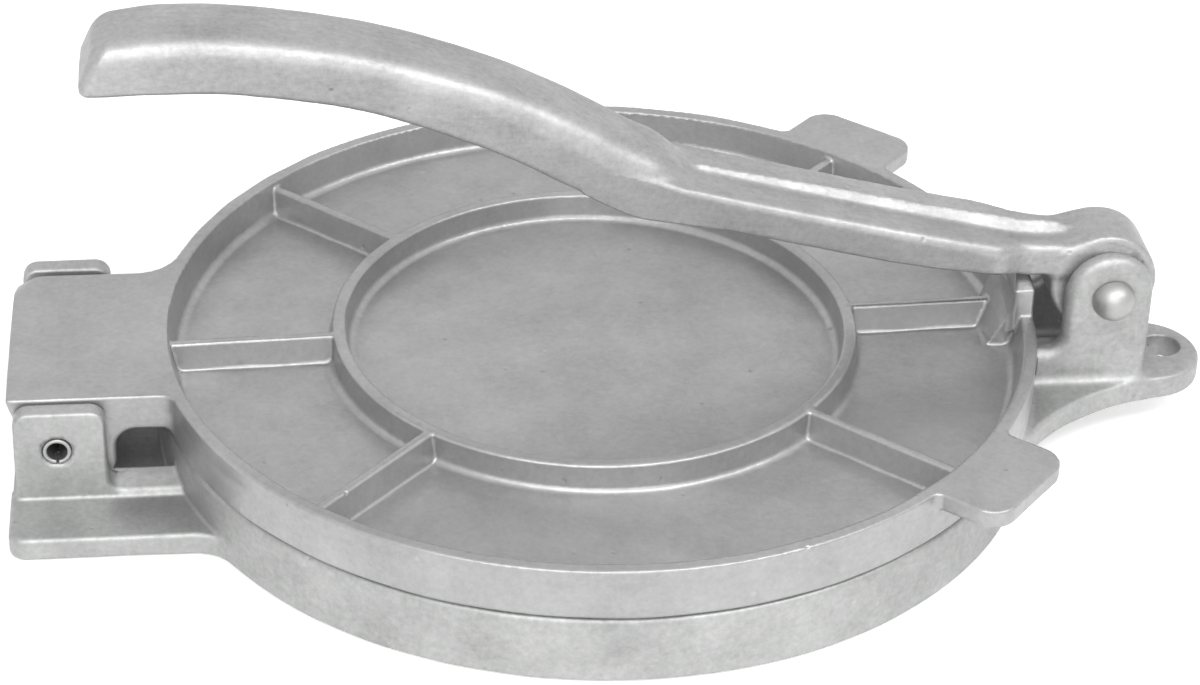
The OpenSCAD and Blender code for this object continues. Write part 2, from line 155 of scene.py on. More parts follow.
# Hinge block of the plate: a drum round the pins and an arm to the disc.
BLOCK_Y0 = -(EAR_IN - 0.3)
BLOCK_Y1 = EAR_IN - 3.5
BLOCK_MID = (BLOCK_Y0 + BLOCK_Y1) / 2
BLOCK_HALF = (BLOCK_Y1 - BLOCK_Y0) / 2
BLOCK_X0 = HINGE_X - 11.7
BLOCK_X1 = -70
BLOCK_BULGE = 0.2
BLOCK_BULGE_HALF = 27.0
LEAN_Z = HINGE_Z + 9.5
LEAN_NORMAL = (-0.885, -0.466)
LEAN_EDGE = 2.5
DRUM_X1 = HINGE_X + 13
DRUM_Z0 = HINGE_Z - 10
DRUM_EDGE = 4
ARM_X0 = HINGE_X + 6
ARM_Z0 = 20
DRUM_ARM_FILLET = 5.0
BLOCK_PLAN_HALF = 40
BLOCK_FAR_CORNER = 5.0
BLOCK_NEAR_CORNER = 1.5
BLOCK_SIDE_EDGE = 1.1
BLOCK_END_EDGE = 1
BLOCK_NEAR_FILLET = 2.5
BLOCK_FAR_MORE = 4.5
BLOCK_MORE_Y = (5, 15)
BEVEL_PLACE = (-134.4, 19.0)
BEVEL_DIRECTION = (-0.835, 0.55)
BEVEL_NORMAL = (0.47, 0.88)
BEVEL_EDGE = 0.5
BORE_START = 12

# Lever pivot and the clevis ears that carry it.
PIVOT_X = 119.2
PIVOT_Z = 35.8
CLEVIS_SPAN = 26.3
CLEVIS_T = 5.15
CLEVIS_IN = CLEVIS_SPAN / 2 - CLEVIS_T
CLEVIS_R = 10.2
CLEVIS_CX = PIVOT_X - 0.5
CLEVIS_TOP = PIVOT_Z + 0.5
CLEVIS_EDGE = 2.5
CLEVIS_FILLET = 2.4
# Step of the clevis toward the disc, higher on the far side.
STEP_X0 = 100
STEP_FAR_Z = BASE_H + 12.5
STEP_NEAR_Z = BASE_H + 5.7
STEP_EDGE = 0.8
STEP_FILLET = 4.2
# Thickened foot inside the near clevis ear.
CLEVIS_FOOT_HALF = 3
CLEVIS_FOOT_Z = BASE_H + 5.2
CLEVIS_FOOT_EDGE = 1.0
CLEVIS_FOOT_FILLET = 1.2
# The clevis leaves room for the plate above ROOM_Z.
ROOM_Z = BASE_H - 1.4
ROOM_R = PLATE_R + 0.8
ROOM_LOW_R = 99

# Hanging tongue, swept out of the disc, and its hole.
TONGUE_END = PIVOT_X + 25.6
TONGUE_HALF = CLEVIS_SPAN / 2 - 0.25
TONGUE_CX = TONGUE_END - TONGUE_HALF
TONGUE_X0 = 80
TONGUE_Z1 = BASE_H - 2.5
TONGUE_Z0 = TONGUE_Z1 - 6
TONGUE_DISC_R = 101.6
TONGUE_SWEEP = 57.0
TONGUE_EDGE = 1.2
TONGUE_FILLET = 1.6
CLEVIS_Z0 = TONGUE_Z0 + 1.5
HOLE_R = 4.5
HOLE_X = TONGUE_END - 3.8 - HOLE_R
HOLE_Y = 1.6
HOLE_EDGE = 0.6

# Pressing lug of the plate, with its gusset toward the disc.
LUG_X = 99.7
LUG_HALF_X = 2.5
LUG_HALF_Y = 8.3
LUG_TOP = 39.35
LUG_Z0 = RIM_Z - 4
LUG_EDGE = 0.9
LUG_FILLET = 0.8
TAPER_Z = RIM_Z + 6.5
TAPER_MAX = 9
TAPER_X = 0.35
TAPER_Y = 1.5
GUSSET_X0 = 91.3
GUSSET_TURN = 0.08
GUSSET_SLOPE = 0.45
GUSSET_TWIST = 0.012
GUSSET_X1 = 101
GUSSET_Z0 = FLOOR_Z - 1
GUSSET_Z1 = RIM_Z + 5
GUSSET_HALF = 7.2
GUSSET_EDGE = 0.3
GUSSET_FILLET = 1.2
LUG_ZONE_X = 60
LUG_ZONE_HALF = 16

# Lever, in its own frame round the hub.
HUB_X = PIVOT_X - 1.2
HUB_Z = PIVOT_Z + 1.0
HUB_R = 12.4
HUB_HALF = CLEVIS_IN - 0.3
HUB_EDGE = 1.3
HUB_FILLET = 2.4
LEVER_HALF = 11.3
LEVER_EDGE = 1.3
NECK_FAR = (-29, 18)
NECK_NEAR = (-27, 9)
GRIP_END_X = -231.6
GRIP_END_Z = 66
GRIP_END_LEAN = 0.45
GRIP_END_EDGE = 3.2
GRIP_CROWN = 0.35
GRIP_X1 = -91
GRIP_FILLET = 1.4
ARM_FAR_CORNER = 0.4
ARM_START = -122
ARM_STOP = 4
CREST_Y = 0.5
CREST_BLUNT = 0.09
CREST_SLOPE = 0.707
CREST_FILLET = 0.5
# Handle: rows of distance from the hub, underside, top, corner radius.
HANDLE = np.array([
    [-240.0, 58.6, 68.6, 5.0],
    [-228.5, 58.4, 70.3, 5.0],
    [-215.5, 58.6, 71.7, 5.0],
    [-197.8, 57.9, 70.9, 5.0],
    [-171.2, 52.9, 66.3, 5.0],
    [-144.3, 42.5, 57.5, 5.4],
    [-126.1, 32.6, 49.0, 6.0],
    [-111.5, 24.7, 40.5, 6.8],
    [-104.5, 22.8, 36.8, 7.0],
    [-97.5, 21.4, 30.8, 7.0],
    [-90.0, 19.5, 23.5, 6.0],
])
# Flat arm: rows of distance from the hub, underside, top, corner radius, rib height.
ARM = np.array([
    [-124.0, 31.8, 36.6, 1.2, 0.0],
    [-111.5, 24.7, 34.0, 1.2, 0.8],
    [-97.0, 21.3, 30.4, 1.5, 1.6],
    [-86.0, 18.5, 27.4, 1.8, 1.9],
    [-72.5, 15.0, 23.9, 2.0, 2.1],
    [-49.5, 9.2, 18.1, 2.2, 2.4],
    [-24.0, 4.5, 12.1, 2.6, 2.8],
    [-18.0, 2.7, 11.0, 2.6, 2.8],
    [-11.5, 2.7, 10.5, 2.2, 2.7],
    [-7.0, 2.7, 10.2, 1.8, 1.3],
    [-3.0, 2.7, 9.8, 1.4, 0.2],
    [6.0, 2.7, 7.0, 1.2, 0.0],
])

CURVE_STEPS = 24
LEAN_REACH = 1.5

# Lever rivet.
RIVET_R = 5.0
RIVET_RISE = 4.9
RIVET_SHAFT_R = 3.2
RIVET_OUT = 0.5
RIVET_EDGE = 0.3


# Solid shapes as signed distances: negative inside, in millimetres.
def hypot2(a, b):
    return np.sqrt(a * a + b * b)


def join(a, b, r):
    """Union with a fillet of radius r."""
    gap = hypot2(np.maximum(r - a, 0), np.maximum(r - b, 0))
    return np.maximum(r, np.minimum(a, b)) - gap


def meet(a, b, r):
    """Intersection with its edge rounded to radius r."""
    gap = hypot2(np.maximum(r + a, 0), np.maximum(r + b, 0))
    return np.minimum(-r, np.maximum(a, b)) + gap


def rect(u, v, cu, cv, hu, hv, r):
    """Rectangle round (cu, cv) with half sizes hu, hv and rounded corners."""
    qu = np.abs(u - cu) - (hu - r)
    qv = np.abs(v - cv) - (hv - r)
    corner = hypot2(np.maximum(qu, 0), np.maximum(qv, 0))
    return np.minimum(np.maximum(qu, qv), 0) + corner - r


def disc(u, v, cu, cv, r):
    return hypot2(u - cu, v - cv) - r


def band(u, middle, half):
    return np.abs(u - middle) - half


def slant(u, v, cu, cv, normal):
    """Half plane through (cu, cv), with its outward normal."""
    return (u - cu) * normal[0] + (v - cv) * normal[1]


def turned(x, y, a):
    return x * math.cos(a) + y * math.sin(a), y * math.cos(a) - x * math.sin(a)


def smooth01(t):
    t = np.clip(t, 0, 1)
    return t * t * (3 - 2 * t)


def hinge_foot(x, y, z):
    ay = np.abs(y)
    r = hypot2(x, y)
    plan = rect(x, y, FOOT_CX, 0, FOOT_HALF_X, FOOT_HALF_Y, FOOT_CORNER)
    plan = join(plan, r - FOOT_DISC_R, FOOT_SWEEP)
    foot = meet(np.maximum(plan, x - FOOT_END_X), z - FOOT_T, FOOT_EDGE)
    pocket = np.maximum(np.maximum(ay - EAR_IN, WEB_T - z), -(r - WEB_END_R))
    return meet(foot, -pocket, WEB_EDGE)


def hinge_ears(x, y, z):
    """Both ears with the curbs beside them."""
    ay = np.abs(y)
    middle, half_z = EAR_TOP / 2 - EAR_SUNK, EAR_TOP / 2 + EAR_SUNK
    side = rect(x, z, EAR_CX, middle, EAR_HALF_X, half_z, EAR_CORNER)
    crown = slant(ay, z, CURB_Y, CURB_Z, CURB_NORMAL)
    curb = np.maximum(crown, np.maximum(CURB_X0 - x, x - CURB_X1))
    slab = band(ay, EAR_IN + EAR_T / 2, EAR_T / 2)
    ears = meet(join(side, curb, CURB_EAR_FILLET), slab, EAR_EDGE)
    curb_slab = np.abs(ay - EAR_SPAN / 2 + CURB_HALF) - CURB_HALF
    return np.minimum(ears, meet(curb, curb_slab, EAR_EDGE))


def hanging_tongue(x, y, z):
    ay = np.abs(y)
    r = hypot2(x, y)
    # centre (sx, sy) of the arc that touches both the disc and the round end
    far, near = TONGUE_DISC_R + TONGUE_SWEEP, TONGUE_HALF + TONGUE_SWEEP
    sx = (far ** 2 - near ** 2 + TONGUE_CX ** 2) / (2 * TONGUE_CX)
    sy = math.sqrt(far ** 2 - sx ** 2)
    end = disc(x, y, TONGUE_CX, 0, TONGUE_HALF)
    sweep = TONGUE_SWEEP - disc(x, ay, sx, sy, 0)
    wedge = (sx * ay - sy * x < 0) & ((sx - TONGUE_CX) * ay - sy * (x - TONGUE_CX) > 0)
    tongue = np.where(wedge, sweep, np.minimum(end, r - TONGUE_DISC_R))
    tongue = meet(meet(tongue, z - TONGUE_Z1, TONGUE_EDGE), TONGUE_Z0 - z, TONGUE_EDGE)
    return np.maximum(tongue, TONGUE_X0 - x)


def clevis_ears(x, y, z):
    """Both ears with their step toward the disc."""
    head = disc(x, z, CLEVIS_CX, CLEVIS_TOP, CLEVIS_R)
    ear = np.where(z > CLEVIS_TOP, head, band(x, CLEVIS_CX, CLEVIS_R))
    step_z = np.where(y > 0, STEP_FAR_Z, STEP_NEAR_Z)
    step = meet(np.maximum(STEP_X0 - x, x - CLEVIS_CX), z - step_z, STEP_EDGE)
    ear = join(ear, step, STEP_FILLET)
    slab = band(np.abs(y), CLEVIS_IN + CLEVIS_T / 2, CLEVIS_T / 2)
    ear = meet(np.maximum(ear, CLEVIS_Z0 - z), slab, CLEVIS_EDGE)
    foot = band(y, -CLEVIS_IN, CLEVIS_FOOT_HALF)
    foot = meet(foot, np.maximum(step, x - CLEVIS_CX), CLEVIS_FOOT_EDGE)
    foot = np.maximum(np.maximum(foot, z - CLEVIS_FOOT_Z), CLEVIS_Z0 - z)
    ear = join(ear, foot, CLEVIS_FOOT_FILLET)
    r = hypot2(x, y)
    return np.maximum(ear, np.where(z > ROOM_Z, ROOM_R - r, ROOM_LOW_R - r))


def base_hollow(x, y, z):
    r = hypot2(x, y)
    hollow = np.maximum(r - UNDER_R, z - UNDER_TOP)
    left = join(r - BOSS_R, band(r, UNDER_RING_R, UNDER_RIB_HALF), BOSS_FILLET)
    for k in range(4):
        v = turned(x, y, k * math.pi / 4)[1]
        left = join(left, np.abs(v) - UNDER_RIB_HALF, UNDER_RIB_FILLET)
    left = np.where(r < BOSS_R, r - BOSS_R, np.maximum(left, UNDER_RIB_Z0 - z))
    return meet(hollow, -left, UNDER_EDGE)


def base_shape(x, y, z):
    wall = hypot2(x, y) - (BASE_R - BASE_DRAFT * z)
    d = meet(wall, z - BASE_H, BASE_TOP_EDGE)
    d = join(d, hinge_foot(x, y, z), FOOT_FILLET)
    d = join(d, hinge_ears(x, y, z), EAR_FILLET)
    ay = np.abs(y)
    mouth = np.clip(ay - (EAR_SPAN / 2 - EAR_MOUTH), 0, EAR_MOUTH_MAX)
    bore = disc(x, z, HINGE_X, HINGE_Z, PIN_R) - mouth
    d = np.maximum(d, -np.maximum(bore, EAR_IN - EAR_BORE_PAST - ay))
    d = join(d, hanging_tongue(x, y, z), TONGUE_FILLET)
    d = join(d, clevis_ears(x, y, z), CLEVIS_FILLET)
    d = meet(d, -disc(x, y, HOLE_X, HOLE_Y, HOLE_R), HOLE_EDGE)
    d = meet(d, -base_hollow(x, y, z), UNDER_EDGE)
    return meet(d, -z, BASE_FOOT_EDGE)


def hinge_block(x, y, z):
    back = BLOCK_X0 - BLOCK_BULGE * (1 - ((y - BLOCK_MID) / BLOCK_BULGE_HALF) ** 2)
    drum = meet(back - x, slant(x, z, back, LEAN_Z, LEAN_NORMAL), LEAN_EDGE)
    drum = meet(np.maximum(drum, x - DRUM_X1), DRUM_Z0 - z, DRUM_EDGE)
    arm = np.maximum(np.maximum(ARM_X0 - x, x - BLOCK_X1), ARM_Z0 - z)
    block = join(drum, arm, DRUM_ARM_FILLET)
    block = meet(block, band(y, BLOCK_MID, BLOCK_HALF), BLOCK_SIDE_EDGE)
    block = meet(block, x - BLOCK_X1, BLOCK_END_EDGE)
    corner = np.where(y > 0, BLOCK_FAR_CORNER, BLOCK_NEAR_CORNER)
    plan = rect(x, y, back + BLOCK_PLAN_HALF, BLOCK_MID, BLOCK_PLAN_HALF, BLOCK_HALF, corner)
    bevel = slant(slant(x, y, *BEVEL_PLACE, BEVEL_DIRECTION), z, 0, RIM_Z, BEVEL_NORMAL)
    return meet(np.maximum(block, plan), bevel, BEVEL_EDGE)


def plate_tray(x, y, z):
    """The space above the tray floor, with ring, ribs and rim left standing: negative in metal."""
    r = hypot2(x, y)
    ring = band(r, RING_R - RING_W / 2, RING_W / 2) - RING_DRAFT * (RING_Z - z)
    ring = meet(ring, z - RING_Z, RING_EDGE)
    ribs = math.inf
    for k in RIB_EIGHTHS:
        u, v = turned(x, y, k * math.pi / 4 + RIB_TURN)
        rib = meet(np.abs(v) - RIB_HALF - RIB_DRAFT * (RING_Z - z), z - RING_Z + RIB_DROP, RIB_EDGE)
        ribs = np.minimum(ribs, np.maximum(rib, (RING_R - RIB_INTO_RING) - u))
    rim = RIM_IN - RIM_LEAN * (RIM_Z - z) - r
    tray = join(join(z - FLOOR_Z, ring, RING_FILLET), rim, RIM_FILLET)
    return join(tray, ribs, RIB_FILLET)


def pressing_lug(x, y, z):
    over = np.clip(z - TAPER_Z, 0, TAPER_MAX)
    side = np.abs(y) - LUG_HALF_Y + over * TAPER_Y
    lug = meet(side, band(x, LUG_X, LUG_HALF_X) + over * TAPER_X, LUG_EDGE)
    lug = meet(lug, z - LUG_TOP, LUG_EDGE)
    slope_x = GUSSET_X0 - GUSSET_TURN * y + (z - FLOOR_Z) * (GUSSET_SLOPE - GUSSET_TWIST * y)
    gusset = np.maximum(slope_x - x, np.maximum(x - GUSSET_X1, z - GUSSET_Z1))
    gusset = meet(gusset, np.abs(y) - GUSSET_HALF, GUSSET_EDGE)
    return join(np.maximum(lug, LUG_Z0 - z), np.maximum(gusset, GUSSET_Z0 - z), GUSSET_FILLET)


def plate_shape(x, y, z):
    r = hypot2(x, y)
    groove = GROOVE_DEPTH * np.exp(-((z - RIM_Z + GROOVE_DROP) / GROOVE_HALF) ** 2)
    outer = meet(r - PLATE_R + groove, PLATE_Z0 - z, PLATE_EDGE)
    for s in (-1, 1):
        u, v = turned(x, y, s * TAB_ANGLE + TAB_TURN)
        tab = rect(u, v, TAB_MID, 0, PLATE_R + TAB_OUT - TAB_MID, TAB_W / 2, TAB_CORNER)
        tab = meet(np.maximum(tab, TAB_START - u), RIM_Z - TAB_T - z, TAB_EDGE)
        outer = join(outer, tab, TAB_FILLET)
    # the block's fillet grows toward the far side; the flat tops are cut level with the rim
    start, length = BLOCK_MORE_Y
    fillet = BLOCK_NEAR_FILLET + BLOCK_FAR_MORE * smooth01((y - start) / length)
    outer = join(outer, hinge_block(x, y, z), fillet)
    outer = meet(outer, z - RIM_Z, RIM_TOP_EDGE)
    bore = disc(x, z, HINGE_X, HINGE_Z, PIN_R + PIN_PLAY)
    outer = np.maximum(outer, -np.maximum(bore, BORE_START - np.abs(y)))
    d = meet(outer, plate_tray(x, y, z), RIM_IN_EDGE)
    d = join(d, pressing_lug(x, y, z), LUG_FILLET)
    # nothing of the lug stands out past the rim
    zone = (np.abs(y) < LUG_ZONE_HALF) & (x > LUG_ZONE_X)
    return np.where(zone, np.maximum(d, r - PLATE_R), d)


def spline_table(rows, per):
    """Smooth curve through the rows, each gap cut into per steps."""
    n = len(rows)
    out = []
    for i in range(n - 1):
        a, b, c, d = rows[max(i - 1, 0)], rows[i], rows[i + 1], rows[min(i + 2, n - 1)]
        for t in np.arange(per) / per:
            bend = (2 * a - 5 * b + 4 * c - d) * t * t / 2
            out.append(b + (c - a) * t / 2 + bend + (3 * b - 3 * c + d - a) * t ** 3 / 2)
    out.append(rows[-1])
    return np.array(out)


HANDLE_CURVE = spline_table(HANDLE, CURVE_STEPS)
ARM_CURVE = spline_table(ARM, CURVE_STEPS)


def along(x, curve):
    """Columns of a curve at the distances x, and the cosine of its top's slope."""
    reach = (LEAN_REACH, -LEAN_REACH)
    ahead, behind = (np.interp(x + s, curve[:, 0], curve[:, 2]) for s in reach)
    rise = (ahead - behind) / (2 * LEAN_REACH)
    columns = [np.interp(x, curve[:, 0], curve[:, i]) for i in range(1, curve.shape[1])]
    return columns, 1 / np.sqrt(1 + rise * rise)


def lever_shape(x, y, z):
    x, z = x - HUB_X, z - HUB_Z
    ay = np.abs(y)
    far, near = (smooth01((x - start) / length) for start, length in (NECK_FAR, NECK_NEAR))
    neck = np.where(y > 0, far, near)
    half = LEVER_HALF + (HUB_HALF - LEVER_HALF) * neck
    end = (GRIP_END_X + GRIP_END_LEAN * (z - GRIP_END_Z)) - x

    (under, top, corner), lean = along(x, HANDLE_CURVE)
    crown = GRIP_CROWN * (1 - (ay / half) ** 2)
    grip = meet((z - top - crown) * lean, ay - half, corner)
    grip = meet(meet(grip, (under - z) * lean, LEVER_EDGE), end, GRIP_END_EDGE)
    grip = np.maximum(grip, x - GRIP_X1)

    (under, top, corner, crest), lean = along(x, ARM_CURVE)
    over = (z - top) * lean
    arm = meet(over, ay - half, np.where(y > 0, ARM_FAR_CORNER, 1.0) * corner)
    ridge = (np.sqrt((y - CREST_Y) ** 2 + CREST_BLUNT) + over - crest) * CREST_SLOPE
    arm = join(arm, np.maximum(ridge, -1 - over), CREST_FILLET)
    arm = meet(arm, (under - z) * lean, LEVER_EDGE)
    arm = np.maximum(arm, np.maximum(x - ARM_STOP, ARM_START - x))

    hub = meet(disc(x, z, 0, 0, HUB_R), ay - HUB_HALF, HUB_EDGE)
    return join(np.maximum(join(grip, arm, GRIP_FILLET), ay - half), hub, HUB_FILLET)


def pin_shape(x, y, z):
    """Hollow split spring pin along y."""
    d = disc(x, z, 0, 0, PIN_R)
    d = meet(d, PIN_R - PIN_WALL - hypot2(x, z), PIN_WALL_EDGE)
    d = np.maximum(d, -np.maximum(np.abs(x) - PIN_SLIT_HALF, z))
    return meet(d, np.abs(y) - PIN_HALF, PIN_END_EDGE)


def rivet_shape(x, y, z):
    """Rivet along y with a dome on both ends."""
    half = CLEVIS_SPAN / 2
    ball = (RIVET_R * RIVET_R + RIVET_RISE * RIVET_RISE) / (2 * RIVET_RISE)
    ay = np.abs(y)
    dome = np.sqrt(x * x + z * z + (ay - (half + RIVET_RISE - ball)) ** 2) - ball
    dome = meet(dome, half - ay, RIVET_EDGE)
    return np.minimum(dome, np.maximum(disc(x, z, 0, 0, RIVET_SHAFT_R), ay - half - RIVET_OUT))


# Meshes from shapes.
def skin(f, lo, hi, h):
    """Closed quad mesh of the surface f = 0, with one point in each cell of size h that it cuts."""
    ax = [np.arange(a - 0.5 * h, b + 1.5 * h, h) for a, b in zip(lo, hi)]
    v = f(ax[0][:, None, None], ax[1][None, :, None], ax[2][None, None, :]).astype(np.float32)
    neg = v < 0
    n = neg.shape
    corners = [(i, j, k) for i in (0, 1) for j in (0, 1) for k in (0, 1)]
    shifted = (neg[tuple(slice(i, m - 1 + i) for i, m in zip(c, n))] for c in corners)
    count = sum(part.astype(np.int8) for part in shifted)
    cell = np.argwhere((count > 0) & (count < 8))
    number = np.full([k - 1 for k in n], -1, np.int64)
    number[tuple(cell.T)] = np.arange(len(cell))

    # each point is the mean of where the surface cuts its cell's edges
    total = np.zeros((len(cell), 3))
    hits = np.zeros(len(cell))
    for a in corners:
        for axis in range(3):
            if a[axis]:
                continue
            b = tuple(a[i] + (i == axis) for i in range(3))
            va, vb = v[tuple((cell + a).T)], v[tuple((cell + b).T)]
            cross = (va < 0) != (vb < 0)
            t = np.where(cross, va / np.where(cross, va - vb, 1), 0)
            p = np.array(a, float)[None, :] + np.eye(3)[axis][None, :] * t[:, None]
            total += p * cross[:, None]
            hits += cross
    verts = np.array([a[0] for a in ax]) + (cell + total / hits[:, None]) * h

    # each grid edge that the surface cuts gives a face of the four cells round it
    quads = []
    for axis in range(3):
        u, w = (axis + 1) % 3, (axis + 2) % 3
        a = [slice(1, k - 1) for k in n]
        b = list(a)
        a[axis], b[axis] = slice(0, n[axis] - 1), slice(1, n[axis])
        p = np.argwhere(neg[tuple(a)] != neg[tuple(b)])
        p += np.array([0 if i == axis else 1 for i in range(3)])
        du, dw = np.eye(3, dtype=int)[u], np.eye(3, dtype=int)[w]
        q = np.stack([number[tuple(c.T)] for c in (p - du - dw, p - dw, p, p - du)], axis=1)
        out = neg[tuple(p.T)]
        q[~out] = q[~out][:, ::-1]
        quads.append(q)
    return verts, np.concatenate(quads)


def slopes(f, p, eps=0.04):
    """Gradient of f at the points p."""
    g = np.empty_like(p)
    for i in range(3):
        a, b = p.copy(), p.copy()
        a[:, i] += eps
        b[:, i] -= eps
        g[:, i] = (f(*a.T) - f(*b.T)) / (2 * eps)
    return g


def settle(f, p, limit, turns=3):
    """Moves points onto the surface f = 0, by at most limit in each turn."""
    for _ in range(turns):
        g = slopes(f, p)
        step = (f(*p.T) / np.maximum((g * g).sum(1), 0.05))[:, None] * g
        size = np.linalg.norm(step, axis=1)[:, None]
        p = p - step * np.minimum(1, limit / np.maximum(size, 1e-9))
    return p


def cast_waves(seed, height, count=12, short=9, long=45):
    """The gentle random unevenness of a casting, as a function of place."""
    rng = np.random.default_rng(seed)
    k = rng.normal(size=(count, 3))
    k /= np.linalg.norm(k, axis=1)[:, None]
    size = 2 * math.pi / (short * (long / short) ** rng.random(count))
    phase = rng.random(count) * 2 * math.pi
    share = height * math.sqrt(2.0 / count)

    def f(x, y, z):
        total = 0
        for i in range(count):
            total = total + np.sin(size[i] * (k[i, 0] * x + k[i, 1] * y + k[i, 2] * z) + phase[i])
        return share * total

    return f


def smooth_skin(x, y, z):
    return 0


def thinned(obj, keep):
    """Mesh of obj with the share keep of its faces."""
    thin = obj.modifiers.new("thin", "DECIMATE")
    thin.ratio = keep
    whole = obj.evaluated_get(bpy.context.evaluated_depsgraph_get())
    mesh = bpy.data.meshes.new_from_object(whole)
    obj.modifiers.clear()
    return mesh


def piece(name, shape, lo, hi, h, keep, uneven, move=(0, 0, 0)):
    """Object from a shape between the corners lo and hi, made on cells of size h.

    The share keep of its faces stays, uneven is added to the shape for the final surface, and
    move is where the shape's origin goes.
    """
    verts, quads = skin(shape, lo, hi, h)
    verts = settle(shape, verts, 0.4 * h)
    mesh = bpy.data.meshes.new(name)
    mesh.from_pydata(verts, [], quads.tolist())
    obj = bpy.data.objects.new(name, mesh)
    bpy.context.scene.collection.objects.link(obj)
    mesh = obj.data = thinned(obj, keep)
    mesh.name = name

    def surface(x, y, z):
        return shape(x, y, z) + uneven(x, y, z)

    p = np.empty(len(mesh.vertices) * 3)
    mesh.vertices.foreach_get("co", p)
    p = settle(surface, p.reshape(-1, 3), 0.3)
    normal = slopes(surface, p, 0.12)
    normal /= np.maximum(np.linalg.norm(normal, axis=1), 1e-9)[:, None]
    p = (p + np.array(move)) * MM
    mesh.vertices.foreach_set("co", p.ravel())
    mesh.update()
    mesh.shade_smooth()
    mesh.normals_split_custom_set_from_vertices(normal)
    mesh.update()
    return obj


def spring_pin(name, side):
    y = side * (EAR_SPAN / 2 - PIN_SUNK - PIN_HALF)
    lo, hi = (-3.6, -10.3, -3.6), (3.6, 10.3, 3.6)
    return piece(name, pin_shape, lo, hi, 0.3, 0.5, smooth_skin, (HINGE_X, y, HINGE_Z))


base = piece("base_skin", base_shape, (-137.5, -104, -0.6), (144.5, 104, 47.6),
             0.8, 0.4, cast_waves(3, 0.045))
plate = piece("plate_skin", plate_shape, (-138, -104, 6.6), (119, 104, 40.6),
              0.8, 0.4, cast_waves(5, 0.045))
lever = piece("lever_skin", lever_shape, (-119, -12.4, 23), (131.5, 12.4, 111),
              0.8, 0.6, cast_waves(8, 0.05))
pin_near = spring_pin("spring_pin_near", -1)
pin_far = spring_pin("spring_pin_far", 1)
rivet = piece("rivet_skin", rivet_shape, (-5.4, -18.5, -5.4), (5.4, 18.5, 5.4),
              0.35, 0.5, smooth_skin, (PIVOT_X, 0, PIVOT_Z))

# Materials. Noises are (scale per metre, detail, roughness); specks are (scale per metre, share
# of the cells that hold one, size as a share of a cell). All are in object space.
CLOUD = (55.0, 5.0, 0.62)
GRAIN = (700.0, 4.0, 0.7)
DRAWN = (320.0, 4.0, 0.75)
LUMPS = (240.0, 3.0, 0.6)
PITS = (230.0, 0.10, 0.16)
# painted glints: bright specks that lighten the base colour where sparkle would catch the light
GLINT_SPECKS = (170.0, 0.07, 0.13)
METALLIC = 0.72


def new_material(name):
    m = bpy.data.materials.new(name)
    m.use_nodes = True
    t = m.node_tree
    return m, t, t.nodes["Principled BSDF"]


def node(t, kind, **values):
    """New node, with the given inputs or settings."""
    n = t.nodes.new(kind)
    for k, v in values.items():
        if k in n.inputs:
            n.inputs[k].default_value = v
        else:
            setattr(n, k, v)
    return n


def ramp(t, src, stops):
    """Values or colours of src between the stops."""
    n = t.nodes.new("ShaderNodeValToRGB")
    e = n.color_ramp.elements
    while len(e) < len(stops):
        e.new(0.5)
    for element, (at, c) in zip(e, stops):
        element.position = at
        element.color = (c, c, c, 1) if isinstance(c, float) else (*c, 1)
    t.links.new(src, n.inputs["Fac"])
    return n.outputs["Color"]


def noise(t, co, kind, stretch=None):
    """Noise, drawn out along the axes by stretch."""
    scale, detail, rough = kind
    n = node(t, "ShaderNodeTexNoise", Scale=scale, Detail=detail, Roughness=rough)
    if stretch:
        m = node(t, "ShaderNodeMapping", Scale=stretch)
        t.links.new(co, m.inputs["Vector"])
        co = m.outputs["Vector"]
    t.links.new(co, n.inputs["Vector"])
    return n.outputs["Fac"]


def math_node(t, kind, a, b):
    n = node(t, "ShaderNodeMath", operation=kind)
    for socket, v in zip(n.inputs, (a, b)):
        if isinstance(v, (int, float)):
            socket.default_value = v
        else:
            t.links.new(v, socket)
    return n.outputs[0]


def specks(t, co, kind):
    """Sparse round spots, 1 in the middle."""
    scale, share, size = kind
    v = node(t, "ShaderNodeTexVoronoi", Scale=scale)
    t.links.new(co, v.inputs["Vector"])
    spot = ramp(t, v.outputs["Distance"], [(size * 0.4, 1.0), (size, 0.0)])
    pick = node(t, "ShaderNodeSeparateColor")
    t.links.new(v.outputs["Color"], pick.inputs["Color"])
    return math_node(t, "MULTIPLY", spot, math_node(t, "LESS_THAN", pick.outputs[0], share))


